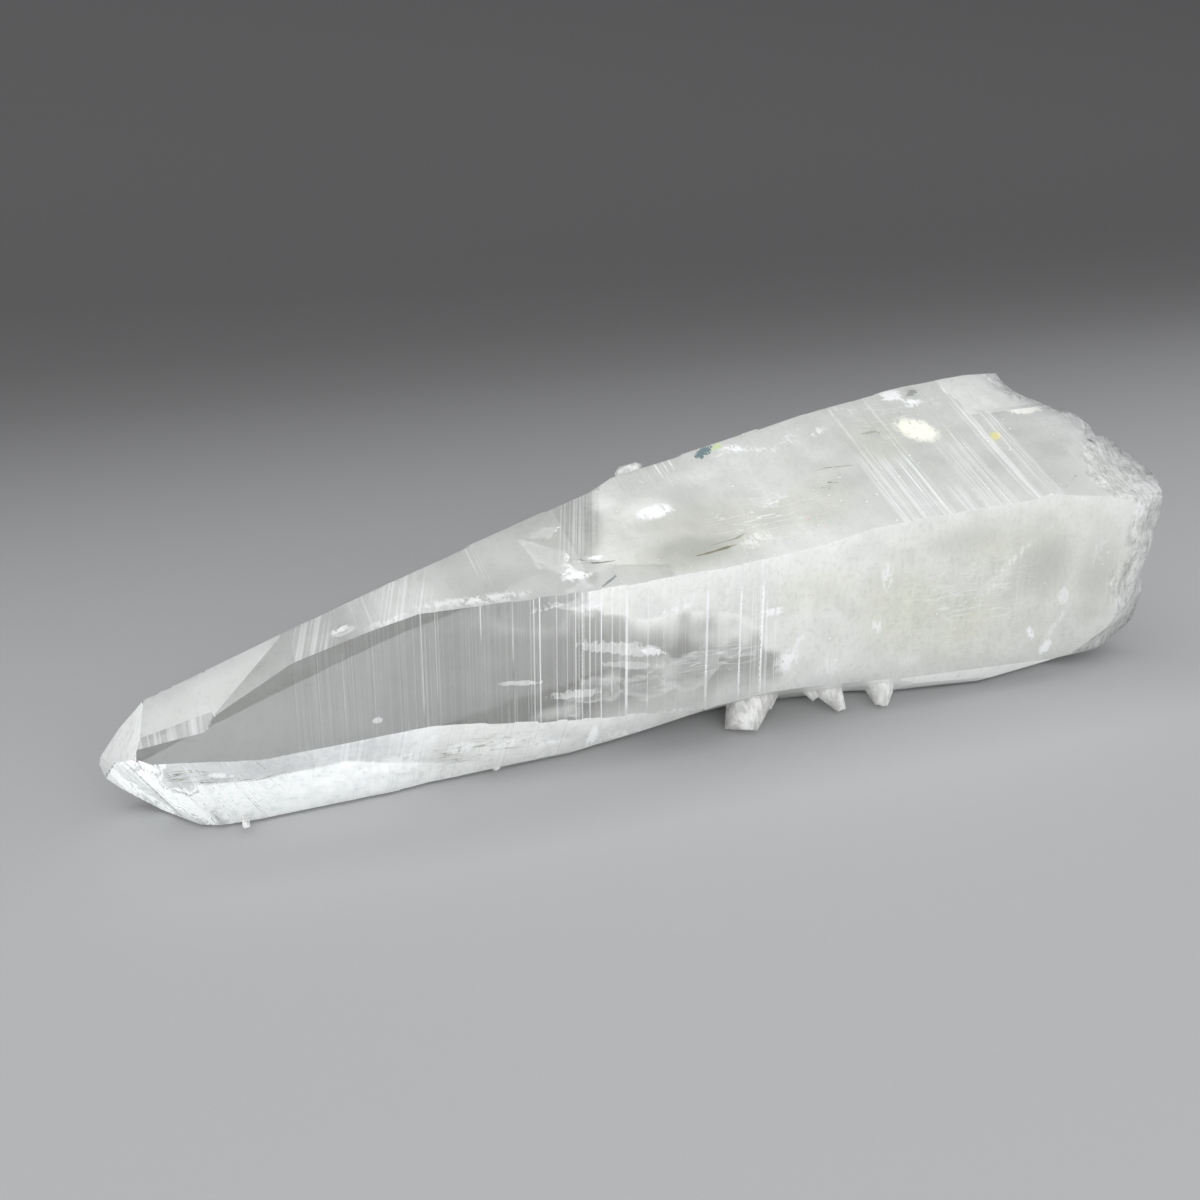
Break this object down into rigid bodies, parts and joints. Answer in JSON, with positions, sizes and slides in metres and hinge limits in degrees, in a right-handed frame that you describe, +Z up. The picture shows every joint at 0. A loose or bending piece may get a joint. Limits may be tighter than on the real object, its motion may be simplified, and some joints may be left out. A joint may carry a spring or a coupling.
{
  "type": "quartz crystal point",
  "caption": "Long tapering clear-to-milky quartz crystal, pointed at one end and broken at the other, lying on its side with small crystals grown on its underside.",
  "frame": {"origin": "bottom centre of the bounding box, on the flat that the crystal rests on", "axes": "+X along the growth axis from the pointed tip to the broken root, -Y out of the tall flat front face, +Z up"},
  "size_m": [0.2038, 0.0578, 0.0539],
  "materials": {
    "quartz": "gloss"
  },
  "bodies": {
    "root": {"quartz_crystal": "quartz"}
  },
  "joints": []
}
